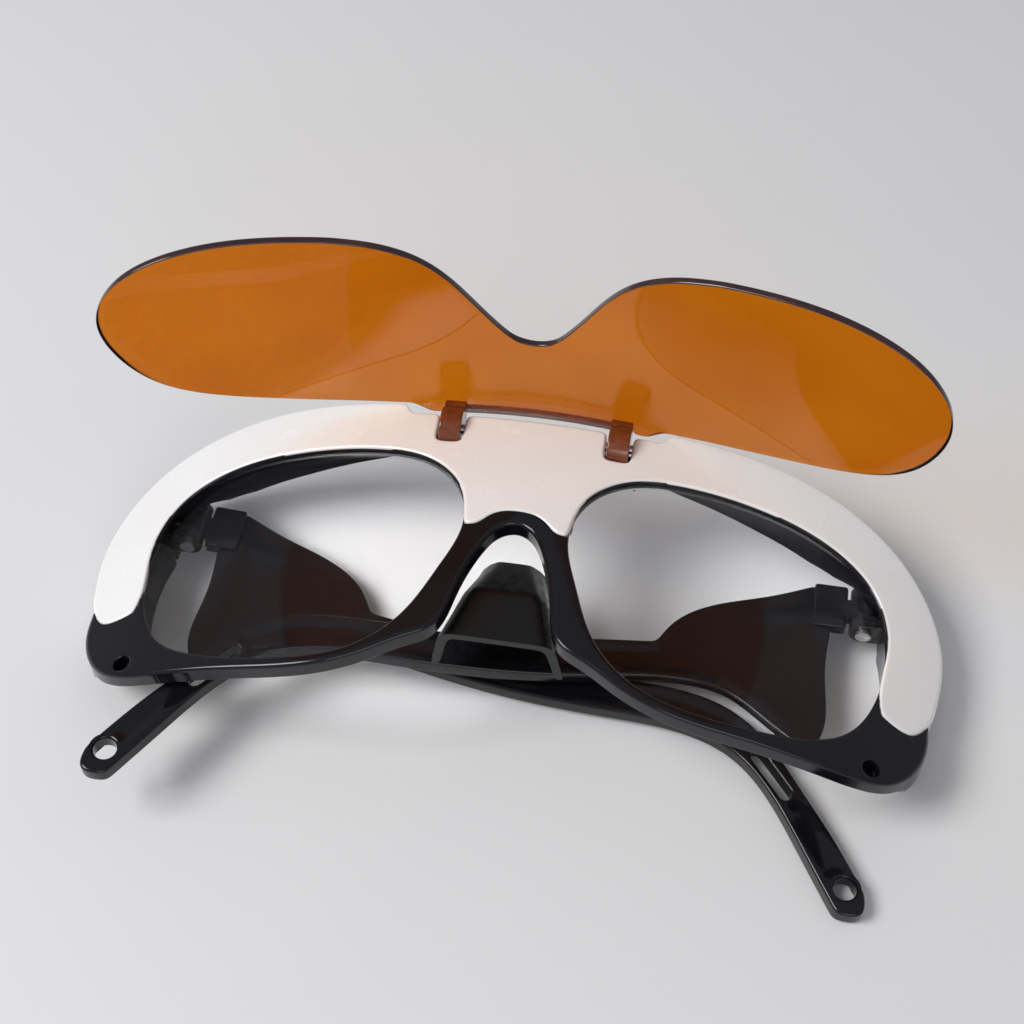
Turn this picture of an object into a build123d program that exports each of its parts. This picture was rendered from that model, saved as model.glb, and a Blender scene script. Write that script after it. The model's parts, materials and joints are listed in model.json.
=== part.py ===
from build123d import *
import os
from math import atan2, cos, radians, sin, sqrt

os.makedirs("parts", exist_ok=True)

# Every length is in mm. The glasses lie on their back with the arms folded under them.
# +X is the wearer's left-to-right, +Y runs from the arm tips to the brow, +Z is up.

# Datum: the lens centre line is DATUM_Y from the middle, the bridge front is FRONT_Z high.
DATUM_Y = 8.4
FRONT_Z = 30.0
WRAP_R = 159.0

# Front frame and brow cover
RIM_DEPTH = 3.8
COVER_T = 1.6
LIP_DEPTH = 7.0
WALL_Z = 11.0
END_X = 66.4
LUG_HOLE = (65.0, -27.2)
LUG_HOLE_R = 1.5
LUG_HOLE_DEPTH = 3.5
TOP_NOTCH_X = 24.4
TOP_NOTCH_Y = 26.7

# Clear lenses
LENS_T = 1.8
LENS_SET = 1.7
RABBET = 1.0
LENS_PLAY = 0.06

# Flip-up lens
FLIP_ANGLE = 77.0
FLIP_Y = 24.5
FLIP_DEPTH = 2.2
FLIP_R = 150.0
FLIP_T = 1.1
FLIP_OFFSET = 5.3
HOOK_X = 15.4
HOOK_W = 4.0
HOOK_IN = 0.85
HOOK_OUT = 3.9
PIN_R = 0.8
PIN_LENGTH = 38.0
POCKET_R = 4.25
POCKET_W = 4.8

# Temples: distances along the arm are counted from the hinge axis
HINGE_X = 63.0
HINGE_DEPTH = 22.5
HINGE_PIN_R = 0.8
HINGE_PLAY = 0.05
KNUCKLE_R = 2.6
KNUCKLE_LOW = 7.1
KNUCKLE_HIGH = 10.9
EAR_T = 2.4
LEAN = {1: -1.0, -1: 4.4}
LEAF_START = 3.2
LEAF_END = 9.0
LEAF_LOW = 4.6
LEAF_HIGH = 13.6
LEAF_T = 2.6
SCREW_HEAD_R = 1.4
SCREW_HEAD_H = 0.7
TIP_HOLE = (126.3, -43.4)
TIP_HOLE_R = 2.0
SLOT_W = 2.4
SLOT_LENGTH = 11.0
SLOT_AT = (112.3, -24.2)
SLOT_TURN = -50

FRONT = Plane((0, DATUM_Y, 0))
PLAN = Plane((0, DATUM_Y, 0), x_dir=(1, 0, 0), z_dir=(0, -1, 0))

# Half outlines in the front view, from the middle outwards
OPENING = [
    (9.4, 3.0), (11.8, 10.8), (17.8, 15.8), (28.0, 17.8), (42.0, 17.2), (54.6, 14.2), (63.2, 8.0),
    (66.4, -2.5), (64.9, -14.5), (59.8, -22.6), (49.0, -26.6), (36.0, -27.1), (25.0, -24.7),
    (16.9, -17.8), (12.0, -7.0),
]
COVER_TOP = [(24.4, 28.9), (38.0, 28.6), (50.0, 26.8), (60.0, 23.2), (69.0, 17.0), (74.6, 9.2),
             (77.2, 0.5), (76.0, -12.5)]
FRAME_TOP = [(0, 25.2), (9.0, 25.4), (20.0, 26.8), (37.6, 26.9), (49.4, 25.1), (59.2, 21.6), (67.8, 15.7),
             (73.0, 8.4), (75.4, 0.2), (74.6, -11.5)]
LUG = [(74.6, -11.5), (75.1, -18.3), (73.0, -24.6), (68.4, -28.9), (60.5, -30.2)]
RIM_LOW = [(60.5, -30.2), (44.0, -29.6), (30.0, -28.5), (20.6, -25.0), (14.6, -21.6),
           (10.9, -19.6), (9.2, -16.4), (8.2, -11.5), (6.9, -6.0), (4.9, -0.8), (2.5, 2.6), (0, 3.7)]
COVER_INNER = [(9.2, 2.2), (11.3, 11.2), (17.4, 16.4), (28.0, 18.5), (42.0, 17.9), (55.0, 14.9),
               (64.4, 8.4), (68.2, -2.5), (66.6, -16.6)]
COVER_TIP = (71.8, -18.0)
ARCH_TOP = [(0, 6.1), (2.6, 5.8), (5.0, 4.5), (7.0, 2.6), (9.2, 2.2)]

# Half outline of the flip lens in its own face view, from the bar round to the nose notch
FLIP_BAR_LOW = 0.2
FLIP_BAR_HIGH = 2.4
FLIP_EDGE_STEP = [(17.4, 0.2), (17.4, 2.4), (20.0, 2.4), (23.2, -1.2), (26.0, -1.6)]
FLIP_EDGE_TOP = [(26.0, -1.6), (35.7, -3.8), (47.5, -8.2), (56.5, -13.8), (62.1, -19.8), (65.4, -26.2),
                 (67.8, -35.5), (68.3, -43.0), (66.6, -50.4), (61.6, -56.2), (52.6, -59.0),
                 (42.0, -58.7), (31.0, -56.8)]
FLIP_EDGE_LOW = [(31.0, -56.8), (23.0, -54.0), (17.8, -50.4), (12.6, -43.4), (8.6, -35.4), (5.2, -29.0),
                 (2.6, -25.9), (0, -25.1)]
# Nose saddle sections: height, half width, depth of the web and of the legs
SADDLE = [(1.4, 4.6, 9.4, 13.2), (-8.0, 7.4, 4.9, 13.6), (-18.0, 10.2, 4.5, 14.6)]

# Side view of the temple: distance from the hinge axis, height above the datum
SHIELD = [(9.0, 13.6), (17.5, 10.2), (28.5, 6.2), (34.0, 1.8), (36.6, -2.8)]
ARM_TOP = [(36.6, -2.8), (48.0, -4.6), (66.0, -8.0), (90.0, -9.6), (102.5, -12.0), (113.0, -20.0),
           (118.0, -26.5), (123.5, -34.0), (129.6, -43.6)]
TIP_END = [(129.6, -43.6), (129.4, -47.6), (125.0, -48.0)]
ARM_LOW = [(125.0, -48.0), (118.0, -36.5), (112.5, -28.0), (105.5, -21.0), (98.0, -17.8),
           (82.0, -16.2), (60.0, -14.4), (44.0, -11.6), (30.0, -10.0), (23.5, -11.2),
           (18.0, -14.6), (13.0, -18.4), (8.2, -21.4)]
SHIELD_FRONT = [(8.2, -21.4), (6.6, -19.0), (6.2, -6.0), (5.8, 4.6)]
# Plan view: distance from the hinge axis, bow away from the face, thickness
BOW = [(3.0, 0.0, 2.4), (20.0, 1.3, 2.2), (45.0, 1.2, 2.8), (70.0, -0.6, 3.2), (90.0, -2.2, 3.2),
       (105.0, -3.2, 3.2), (118.0, -3.7, 3.2), (133.0, -4.3, 3.2)]


def mirrored(points):
    return [(-x, y) for x, y in points]


def grown(points, amount):
    """Points moved outwards from the middle of their outline."""
    mid_x = sum(x for x, _ in points) / len(points)
    mid_y = sum(y for _, y in points) / len(points)
    moved = []
    for x, y in points:
        heading = atan2(y - mid_y, x - mid_x)
        moved.append((x + amount * cos(heading), y + amount * sin(heading)))
    return moved


def opening_face(side, amount=0.0):
    """Lens outline grown outwards by an amount; side is 1 for +X and -1 for -X."""
    points = grown(OPENING, amount)
    if side < 0:
        points = mirrored(points)
    with BuildSketch() as face:
        with BuildLine():
            Spline(*points, periodic=True)
        make_face()
    return face.sketch


def shell(front, back, top=FRONT_Z, radius=WRAP_R):
    """Plan view of the wrapped layer between two depths behind a curved front surface."""
    with BuildSketch() as layer:
        with Locations((0, top - radius)):
            Circle(radius - front)
            Circle(radius - back, mode=Mode.SUBTRACT)
        with Locations((0, top - 20)):
            Rectangle(180, 50, mode=Mode.INTERSECT)
    return layer.sketch


def full_face(chains):
    """Face inside a closed half-outline, given as chains of points, and its mirror image."""
    with BuildSketch() as face:
        with BuildLine():
            for chain in chains:
                for points in (chain, mirrored(chain)):
                    if len(points) == 2:
                        Line(*points)
                    else:
                        Spline(*points)
        make_face()
    return face.sketch


def cover_region():
    """Front view of the whole brow cover, open at the lenses and at the arch."""
    notch = [(0, TOP_NOTCH_Y), (TOP_NOTCH_X - 0.8, TOP_NOTCH_Y)]
    step = [notch[-1], COVER_TOP[0]]
    tip = [COVER_TOP[-1], COVER_TIP, COVER_INNER[-1]]
    return full_face([notch, step, COVER_TOP, tip, COVER_INNER, ARCH_TOP])


def frame_region():
    """Front view of the black frame's outer edge, nose notch included."""
    return full_face([FRAME_TOP, LUG, RIM_LOW])


def hinge_plane(side, lean):
    """Plan-view plane at the hinge axis: x along the folded arm, y away from the face."""
    along = (-side * cos(radians(lean)), 0, -sin(radians(lean)))
    return Plane(
        (side * HINGE_X, DATUM_Y, FRONT_Z - HINGE_DEPTH),
        x_dir=along,
        z_dir=(0, -side, 0),
    )


def side_plane(side, lean):
    """Side-view plane at the hinge axis: x along the folded arm, y towards the brow."""
    along = Vector(-side * cos(radians(lean)), 0, -sin(radians(lean)))
    return Plane(
        (side * HINGE_X, DATUM_Y, FRONT_Z - HINGE_DEPTH),
        x_dir=along,
        z_dir=along.cross(Vector(0, 1, 0)),
    )


# The flip lens's own planes, at the pin's axis: face view, plan view and end view
PIN_Z = FRONT_Z - FLIP_DEPTH
FLIP_NORMAL = Vector(0, sin(radians(FLIP_ANGLE)), cos(radians(FLIP_ANGLE)))
FLIP_UP = Vector(0, cos(radians(FLIP_ANGLE)), -sin(radians(FLIP_ANGLE)))
PIN_AT = (0, DATUM_Y + FLIP_Y, PIN_Z)
FLIP_FACE = Plane(PIN_AT, x_dir=(1, 0, 0), z_dir=FLIP_NORMAL)
FLIP_PLAN = Plane(PIN_AT, x_dir=(1, 0, 0), z_dir=-FLIP_UP)
FLIP_END = Plane(PIN_AT, x_dir=FLIP_UP, z_dir=(1, 0, 0))


def front_height(x, behind=0.0):
    """Height of the wrapped front surface, or of a layer behind it, at a distance from the middle."""
    return FRONT_Z - WRAP_R + sqrt((WRAP_R - behind) ** 2 - x**2)


def deep_profile():
    """Plan view of the deep brow wall and of the end pieces that the frame stands on."""
    with BuildSketch() as profile:
        for side in (1, -1):
            with BuildLine():
                Polyline(
                    (side * 18, 28), (side * 28, 22.5), (side * 42, 15.6), (side * 52, WALL_Z),
                    (side * 57, WALL_Z - 1.1), (side * 63.6, WALL_Z), (side * END_X, 10.4),
                    (side * END_X, 0), (side * 73.4, 0), (side * 76, 3), (side * 80, 14),
                    (side * 80, 31), (side * 18, 31), close=True,
                )
            make_face()
    return profile.sketch


# ---- tool shapes: the hooks' pockets and the pin's bore ----
with BuildPart() as pin_pockets:
    with BuildSketch(FLIP_END):
        Circle(POCKET_R)
    extrude(amount=HOOK_X + POCKET_W / 2, both=True)
    with BuildSketch(FLIP_END):
        Circle(POCKET_R + 1)
    extrude(amount=HOOK_X - POCKET_W / 2, both=True, mode=Mode.SUBTRACT)
    with BuildSketch(FLIP_END):
        Circle(PIN_R)
    extrude(amount=PIN_LENGTH / 2, both=True)

# ---- tool shapes: the seats of the lenses and of the brow cover ----
with BuildPart() as lens_rabbets:
    with BuildSketch(FRONT):
        add(opening_face(1, RABBET))
        add(opening_face(-1, RABBET))
    extrude(amount=45)
    with BuildSketch(PLAN):
        add(shell(LENS_SET, 60))
    extrude(amount=60, both=True, mode=Mode.INTERSECT)

with BuildPart() as cover_seat:
    with BuildSketch(FRONT):
        add(cover_region())
    extrude(amount=45)
    with BuildSketch(PLAN):
        add(shell(-5, COVER_T))
    extrude(amount=60, both=True, mode=Mode.INTERSECT)

with BuildPart() as cover_lip:
    with BuildSketch(FRONT):
        add(cover_region())
        add(frame_region(), mode=Mode.SUBTRACT)
    extrude(amount=45)
    with BuildSketch(PLAN):
        add(shell(0, LIP_DEPTH))
    extrude(amount=60, both=True, mode=Mode.INTERSECT)

# ---- deep brow wall and end pieces ----
with BuildPart() as deep_wall:
    with BuildSketch(FRONT):
        add(frame_region())
        Polygon((-90, -34), (-60, -22), (-16, 12), (16, 12), (60, -22), (90, -34), (90, 40), (-90, 40),
                align=None, mode=Mode.INTERSECT)
    extrude(amount=45)
    with BuildSketch(PLAN):
        add(shell(0, 40))
        add(deep_profile(), mode=Mode.INTERSECT)
    extrude(amount=60, both=True, mode=Mode.INTERSECT)
    with BuildSketch(Plane.YZ):
        with Locations((DATUM_Y, 0)):
            Polygon((-40, -1), (-10, -1), (-40, 15), align=None)
            Polygon((14, -1), (24, -1), (24, 12), align=None)
    extrude(amount=90, both=True, mode=Mode.SUBTRACT)

# ---- front frame ----
with BuildPart() as front_frame:
    with BuildSketch(FRONT):
        add(frame_region())
    extrude(amount=45)
    with BuildSketch(PLAN):
        add(shell(0, RIM_DEPTH))
    extrude(amount=60, both=True, mode=Mode.INTERSECT)
    add(deep_wall.part)
    # Thicker bridge behind the flip lens's pin
    with BuildSketch(PLAN.offset(-19.6)):
        add(shell(0, 7.0))
        with Locations((0, 24)):
            Rectangle(38.4, 20, mode=Mode.INTERSECT)
    extrude(amount=-5.3)
    # Lens openings, with the rabbet that each lens sits in from behind
    for side in (1, -1):
        with BuildSketch(FRONT):
            add(opening_face(side))
        extrude(amount=45, mode=Mode.SUBTRACT)
    add(lens_rabbets.part, mode=Mode.SUBTRACT)
    add(cover_seat.part, mode=Mode.SUBTRACT)
    add(pin_pockets.part, mode=Mode.SUBTRACT)
    # Blind hole in each lower corner
    with BuildSketch(FRONT.offset(front_height(LUG_HOLE[0]))):
        with Locations((LUG_HOLE[0], LUG_HOLE[1]), (-LUG_HOLE[0], LUG_HOLE[1])):
            Circle(LUG_HOLE_R)
    extrude(amount=-LUG_HOLE_DEPTH, mode=Mode.SUBTRACT)
front_frame.part.label = "front_frame"

# ---- brow cover: front plate and the lip that wraps over the frame's top ----
with BuildPart() as brow_cover:
    with BuildSketch(FRONT):
        add(cover_region())
    extrude(amount=45)
    with BuildSketch(PLAN):
        add(shell(0, COVER_T))
    extrude(amount=60, both=True, mode=Mode.INTERSECT)
    add(cover_lip.part)
    add(pin_pockets.part, mode=Mode.SUBTRACT)
brow_cover.part.label = "brow_cover"

# ---- clear lenses ----
with BuildPart() as lens_right:
    with BuildSketch(FRONT):
        add(opening_face(1, RABBET - LENS_PLAY))
    extrude(amount=45)
    with BuildSketch(PLAN):
        add(shell(LENS_SET, LENS_SET + LENS_T))
    extrude(amount=60, both=True, mode=Mode.INTERSECT)
lens_right.part.label = "lens_right"

with BuildPart() as lens_left:
    add(lens_right.part)
    mirror(about=Plane.YZ, mode=Mode.REPLACE)
lens_left.part.label = "lens_left"

# ---- nose saddle: a tapered channel, open at the back ----
def channel_section(half_width, web_depth, leg_depth, wall=1.5):
    """Plan view of the channel at one height: half width and depths behind the bridge front."""
    top = FRONT_Z - web_depth
    low = FRONT_Z - leg_depth
    with BuildSketch() as section:
        with BuildLine():
            Polyline(
                (-half_width - 1.5, low), (-half_width, top - 1.5), (-half_width + 1.8, top),
                (half_width - 1.8, top), (half_width, top - 1.5), (half_width + 1.5, low),
                (half_width + 1.5 - wall, low), (half_width - wall, top - wall - 1.2),
                (half_width - 1.8 - wall / 2, top - wall), (-half_width + 1.8 + wall / 2, top - wall),
                (-half_width + wall, top - wall - 1.2), (-half_width - 1.5 + wall, low), close=True,
            )
        make_face()
    return section.sketch


with BuildPart() as nose_saddle:
    for height, half_width, web_depth, leg_depth in SADDLE:
        with BuildSketch(PLAN.offset(-height)):
            add(channel_section(half_width, web_depth, leg_depth))
    loft()
nose_saddle.part.label = "nose_saddle"

# ---- flip lens group ----
with BuildPart() as flip_pin:
    with BuildSketch(FLIP_END):
        Circle(PIN_R)
    extrude(amount=PIN_LENGTH / 2, both=True)
    chamfer(flip_pin.edges().filter_by(GeomType.CIRCLE), 0.25)
flip_pin.part.label = "flip_pin"

with BuildPart() as flip_lens:
    with BuildSketch(FLIP_FACE):
        bar_edge = [(0, FLIP_BAR_LOW), FLIP_EDGE_STEP[0]]
        step_edges = [list(pair) for pair in zip(FLIP_EDGE_STEP[:-1], FLIP_EDGE_STEP[1:])]
        add(full_face([bar_edge, *step_edges, FLIP_EDGE_TOP, FLIP_EDGE_LOW]))
    extrude(amount=20, both=True)
    with BuildSketch(FLIP_PLAN):
        add(shell(0, FLIP_T, top=FLIP_OFFSET + FLIP_T, radius=FLIP_R))
    extrude(amount=80, both=True, mode=Mode.INTERSECT)
flip_lens.part.label = "flip_lens"

with BuildPart() as flip_bar:
    with BuildSketch(FLIP_FACE):
        with Locations((0, (FLIP_BAR_LOW + FLIP_BAR_HIGH) / 2)):
            Rectangle(2 * HOOK_X + HOOK_W, FLIP_BAR_HIGH - FLIP_BAR_LOW)
    extrude(amount=20, both=True)
    with BuildSketch(FLIP_PLAN):
        add(shell(-0.2, FLIP_T + 0.2, top=FLIP_OFFSET + FLIP_T, radius=FLIP_R))
    extrude(amount=80, both=True, mode=Mode.INTERSECT)
flip_bar.part.label = "flip_bar"


def hook_at(x):
    """C-shaped hook around the pin, with the neck that carries the bar."""
    with BuildPart() as hook:
        with BuildSketch(FLIP_END.offset(x - HOOK_W / 2)):
            Circle(HOOK_OUT)
            with BuildLine():
                Polyline((-1.4, 0), (-1.4, FLIP_OFFSET), (FLIP_BAR_HIGH, FLIP_OFFSET),
                         (FLIP_BAR_HIGH, 1.6), (1.6, 0), close=True)
            make_face()
            Circle(HOOK_IN, mode=Mode.SUBTRACT)
            with BuildLine():
                Polyline((0, 0), (9, 1.2), (9, -9), (2.4, -9), close=True)
            make_face(mode=Mode.SUBTRACT)
        extrude(amount=HOOK_W)
        add(flip_bar.part, mode=Mode.SUBTRACT)
        add(flip_lens.part, mode=Mode.SUBTRACT)
    return hook.part


with BuildPart() as flip_hook_right:
    add(hook_at(HOOK_X))
flip_hook_right.part.label = "flip_hook_right"

with BuildPart() as flip_hook_left:
    add(hook_at(-HOOK_X))
flip_hook_left.part.label = "flip_hook_left"

# ---- temples: hinge leaves, pins and arms ----
def frame_leaf(side):
    """Two ears on the end piece, one above and one below the arm's knuckle."""
    low = KNUCKLE_LOW - 0.1 - EAR_T
    high = KNUCKLE_HIGH + 0.1
    with BuildPart() as leaf:
        for start in (low, high):
            with BuildSketch(hinge_plane(1, 0).offset(-start)):
                Circle(KNUCKLE_R)
                with Locations((-(END_X - HINGE_X) / 2, 0)):
                    Rectangle(END_X - HINGE_X, 2 * KNUCKLE_R)
                Circle(HINGE_PIN_R, mode=Mode.SUBTRACT)
            extrude(amount=-EAR_T)
        if side < 0:
            mirror(about=Plane.YZ, mode=Mode.REPLACE)
    return leaf.part


def level(side, lean, height):
    """Plan-view plane at the hinge, at a height above the datum."""
    return hinge_plane(side, lean).offset(-side * height)


def arm_leaf(side):
    """Knuckle between the ears, and the block that carries the arm."""
    lean = LEAN[side]
    with BuildPart() as leaf:
        with BuildSketch(level(side, lean, KNUCKLE_LOW)):
            Circle(KNUCKLE_R)
            with Locations((2.2, 0)):
                Rectangle(4.4, LEAF_T)
        extrude(amount=-side * (KNUCKLE_HIGH - KNUCKLE_LOW))
        with BuildSketch(level(side, lean, LEAF_LOW)):
            with Locations(((LEAF_START + LEAF_END) / 2, 0)):
                Rectangle(LEAF_END - LEAF_START, LEAF_T)
        extrude(amount=-side * (LEAF_HIGH - LEAF_LOW))
        with BuildSketch(hinge_plane(side, lean)):
            Circle(HINGE_PIN_R + HINGE_PLAY)
        extrude(amount=30, both=True, mode=Mode.SUBTRACT)
    return leaf.part


def arm_outline():
    """Side view of the arm and its side shield, with the slot and the tip's hole."""
    with BuildSketch() as outline:
        with BuildLine():
            Line((LEAF_END, LEAF_LOW), SHIELD[0])
            Spline(*SHIELD)
            Spline(*ARM_TOP)
            Spline(*TIP_END)
            Spline(*ARM_LOW)
            Spline(*SHIELD_FRONT)
            Line(SHIELD_FRONT[-1], (LEAF_END, LEAF_LOW))
        make_face()
        with Locations(TIP_HOLE):
            Circle(TIP_HOLE_R, mode=Mode.SUBTRACT)
        with Locations(Location((SLOT_AT[0], SLOT_AT[1], 0), (0, 0, SLOT_TURN))):
            SlotOverall(SLOT_LENGTH, SLOT_W, mode=Mode.SUBTRACT)
    return outline.sketch


def bow_strip():
    """Plan view of the arm: a bowed strip of changing thickness."""
    with BuildSketch() as strip:
        outer = [(x, bow + thick / 2) for x, bow, thick in BOW]
        inner = [(x, bow - thick / 2) for x, bow, thick in BOW]
        with BuildLine():
            Spline(*outer)
            Spline(*inner)
            Line(outer[0], inner[0])
            Line(outer[-1], inner[-1])
        make_face()
    return strip.sketch


def arm(side):
    """Arm with its side shield, folded behind the frame."""
    lean = LEAN[side]
    with BuildPart() as piece:
        with BuildSketch(side_plane(side, lean)):
            add(arm_outline())
        extrude(amount=30, both=True)
        with BuildSketch(hinge_plane(side, lean)):
            add(bow_strip())
        extrude(amount=80, both=True, mode=Mode.INTERSECT)
    return piece.part


with BuildPart() as frame_hinge_right:
    add(frame_leaf(1))
frame_hinge_right.part.label = "frame_hinge_right"

with BuildPart() as frame_hinge_left:
    add(frame_leaf(-1))
frame_hinge_left.part.label = "frame_hinge_left"

with BuildPart() as arm_hinge_right:
    add(arm_leaf(1))
arm_hinge_right.part.label = "arm_hinge_right"

with BuildPart() as arm_hinge_left:
    add(arm_leaf(-1))
arm_hinge_left.part.label = "arm_hinge_left"

with BuildPart() as temple_right:
    add(arm(1))
temple_right.part.label = "temple_right"

with BuildPart() as temple_left:
    add(arm(-1))
temple_left.part.label = "temple_left"

with BuildPart() as hinge_screws:
    low = KNUCKLE_LOW - 0.1 - EAR_T
    for side in (1, -1):
        with BuildSketch(level(side, 0, low)):
            Circle(HINGE_PIN_R)
        extrude(amount=-side * (KNUCKLE_HIGH + 0.1 + EAR_T - low))
        with BuildSketch(level(side, 0, low)):
            Circle(SCREW_HEAD_R)
        extrude(amount=side * SCREW_HEAD_H)
hinge_screws.part.label = "hinge_screws"

export_step(front_frame.part, "parts/front_frame.step")
export_step(brow_cover.part, "parts/brow_cover.step")
export_step(lens_left.part, "parts/lens_left.step")
export_step(lens_right.part, "parts/lens_right.step")
export_step(nose_saddle.part, "parts/nose_saddle.step")
export_step(flip_pin.part, "parts/flip_pin.step")
export_step(flip_lens.part, "parts/flip_lens.step")
export_step(flip_bar.part, "parts/flip_bar.step")
export_step(flip_hook_left.part, "parts/flip_hook_left.step")
export_step(flip_hook_right.part, "parts/flip_hook_right.step")
export_step(frame_hinge_left.part, "parts/frame_hinge_left.step")
export_step(frame_hinge_right.part, "parts/frame_hinge_right.step")
export_step(hinge_screws.part, "parts/hinge_screws.step")
export_step(arm_hinge_left.part, "parts/arm_hinge_left.step")
export_step(arm_hinge_right.part, "parts/arm_hinge_right.step")
export_step(temple_left.part, "parts/temple_left.step")
export_step(temple_right.part, "parts/temple_right.step")
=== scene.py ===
import json
import math

import bmesh
import bpy
import numpy as np
from mathutils import Matrix, Vector
from mathutils.geometry import delaunay_2d_cdt


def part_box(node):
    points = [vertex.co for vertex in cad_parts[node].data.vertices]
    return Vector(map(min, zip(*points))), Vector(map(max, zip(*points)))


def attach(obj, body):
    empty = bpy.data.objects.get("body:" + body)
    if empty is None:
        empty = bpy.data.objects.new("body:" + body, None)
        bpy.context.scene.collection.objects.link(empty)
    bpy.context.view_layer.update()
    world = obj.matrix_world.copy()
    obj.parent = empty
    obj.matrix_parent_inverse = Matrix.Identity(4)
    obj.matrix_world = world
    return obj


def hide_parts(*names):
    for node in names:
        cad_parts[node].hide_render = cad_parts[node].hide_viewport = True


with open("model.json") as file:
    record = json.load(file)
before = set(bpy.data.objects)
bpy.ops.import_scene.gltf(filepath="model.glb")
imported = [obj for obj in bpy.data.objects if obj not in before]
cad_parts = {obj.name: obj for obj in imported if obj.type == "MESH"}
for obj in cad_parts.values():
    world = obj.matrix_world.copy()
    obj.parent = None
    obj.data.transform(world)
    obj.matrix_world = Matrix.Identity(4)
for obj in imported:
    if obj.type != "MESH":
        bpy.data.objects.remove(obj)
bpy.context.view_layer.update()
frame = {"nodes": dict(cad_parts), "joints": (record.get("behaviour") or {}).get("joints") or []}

# Shapes are worked out in mm and turned into metres when a mesh is made.
MM = 0.001
JOINTS = {j["name"]: j for j in frame["joints"]}
PIN = np.array(JOINTS["lens_flip"]["pos_m"]) / MM
HINGE = {
    1: np.array(JOINTS["right_arm_fold"]["pos_m"]) / MM,
    -1: np.array(JOINTS["left_arm_fold"]["pos_m"]) / MM,
}
FLIP_ANGLE = -JOINTS["lens_flip"]["range_deg"][0]
DATUM_Y = HINGE[1][1]
FRONT_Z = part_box("brow_cover")[1].z / MM
SIDE_NAME = {1: "right", -1: "left"}

# ---- sizes and outlines in mm, as in the CAD model unless a comment says otherwise ----
WRAP_R = 159.0
RIM_DEPTH = 3.8
COVER_T = 1.6
LIP_DEPTH = 7.0
END_X = 66.4
LUG_HOLE = (65.0, -27.2)
LUG_HOLE_R = 1.5
LUG_HOLE_DEPTH = 3.5
TOP_NOTCH_X = 24.4
TOP_NOTCH_Y = 26.7
LENS_T = 1.8
LENS_SET = 1.7
RABBET = 1.0
LENS_PLAY = 0.06
FLIP_R = 150.0
FLIP_T = 1.1
FLIP_OFFSET = 5.3
HOOK_X = 15.4
HOOK_W = 4.0
HOOK_IN = 0.85
HOOK_OUT = 3.9
POCKET_R = 4.25
POCKET_W = 4.8
POCKET_LOW = 20.5
# The frame's pockets are this much larger than the CAD's.
POCKET_PLAY = 0.1
# The thicker bridge behind the pin: half width, lower edge and depth, 0.3 deeper than the CAD's.
BRIDGE_X = 19.2
BRIDGE_LOW = 19.6
BRIDGE_DEPTH = 7.3
# How high above the table the deep brow wall and the end pieces end, across half the frame
WALL_X = [18, 28, 42, 52, 57, 63.6, END_X, END_X + 0.001, 73.4, 76, 80]
WALL_HEIGHT = [28, 22.5, 15.6, 11, 9.9, 11, 10.4, 0, 0, 3, 14]
LEAN = {1: -1.0, -1: 4.4}
TIP_HOLE = (126.3, -43.4)
TIP_HOLE_R = 2.0
SLOT_W = 2.4
SLOT_LENGTH = 11.0
SLOT_AT = (112.3, -24.2)
SLOT_TURN = -50.0
OPENING = [
    (9.4, 3.0), (11.8, 10.8), (17.8, 15.8), (28.0, 17.8), (42.0, 17.2), (54.6, 14.2), (63.2, 8.0),
    (66.4, -2.5), (64.9, -14.5), (59.8, -22.6), (49.0, -26.6), (36.0, -27.1), (25.0, -24.7),
    (16.9, -17.8), (12.0, -7.0),
]
COVER_TOP = [(24.4, 28.9), (38.0, 28.6), (50.0, 26.8), (60.0, 23.2), (69.0, 17.0), (74.6, 9.2),
             (77.2, 0.5), (76.0, -12.5)]
# This edge of the cover runs up to 1.9 nearer the lens opening than the CAD's.
COVER_INNER = [(9.2, 2.2), (11.5, 11.0), (17.6, 16.1), (28.0, 18.1), (42.0, 17.5), (54.8, 14.5),
               (63.6, 8.2), (66.8, -2.5), (65.8, -13.4), (66.2, -16.4)]
COVER_TIP = (71.8, -18.0)
ARCH_TOP = [(0, 6.1), (2.6, 5.8), (5.0, 4.5), (7.0, 2.6), (9.2, 2.2)]
FRAME_TOP = [(0, 25.2), (9.0, 25.4), (20.0, 26.8), (37.6, 26.9), (49.4, 25.1), (59.2, 21.6),
             (67.8, 15.7), (73.0, 8.4), (75.4, 0.2), (74.6, -11.5)]
LUG = [(74.6, -11.5), (75.1, -18.3), (73.0, -24.6), (68.4, -28.9), (60.5, -30.2)]
RIM_LOW = [(60.5, -30.2), (44.0, -29.6), (30.0, -28.5), (20.6, -25.0), (14.6, -21.6),
           (10.9, -19.6), (9.2, -16.4), (8.2, -11.5), (6.9, -6.0), (4.9, -0.8), (2.5, 2.6), (0, 3.7)]
FLIP_BAR = (0.2, 2.4)
FLIP_EDGE_STEP = [(17.4, 0.2), (17.4, 2.4), (20.0, 2.4), (23.2, -1.2), (26.0, -1.6)]
FLIP_EDGE_TOP = [(26.0, -1.6), (35.7, -3.8), (47.5, -8.2), (56.5, -13.8), (62.1, -19.8), (65.4, -26.2),
                 (67.8, -35.5), (68.3, -43.0), (66.6, -50.4), (61.6, -56.2), (52.6, -59.0),
                 (42.0, -58.7), (31.0, -56.8)]
FLIP_EDGE_LOW = [(31.0, -56.8), (23.0, -54.0), (17.8, -50.4), (12.6, -43.4), (8.6, -35.4), (5.2, -29.0),
                 (2.6, -25.9), (0, -25.1)]
SADDLE = [(1.4, 4.6, 9.4, 13.2), (-8.0, 7.4, 4.9, 13.6), (-18.0, 10.2, 4.5, 14.6)]
SHIELD = [(9.0, 13.6), (17.5, 10.2), (28.5, 6.2), (34.0, 1.8), (36.6, -2.8)]
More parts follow.
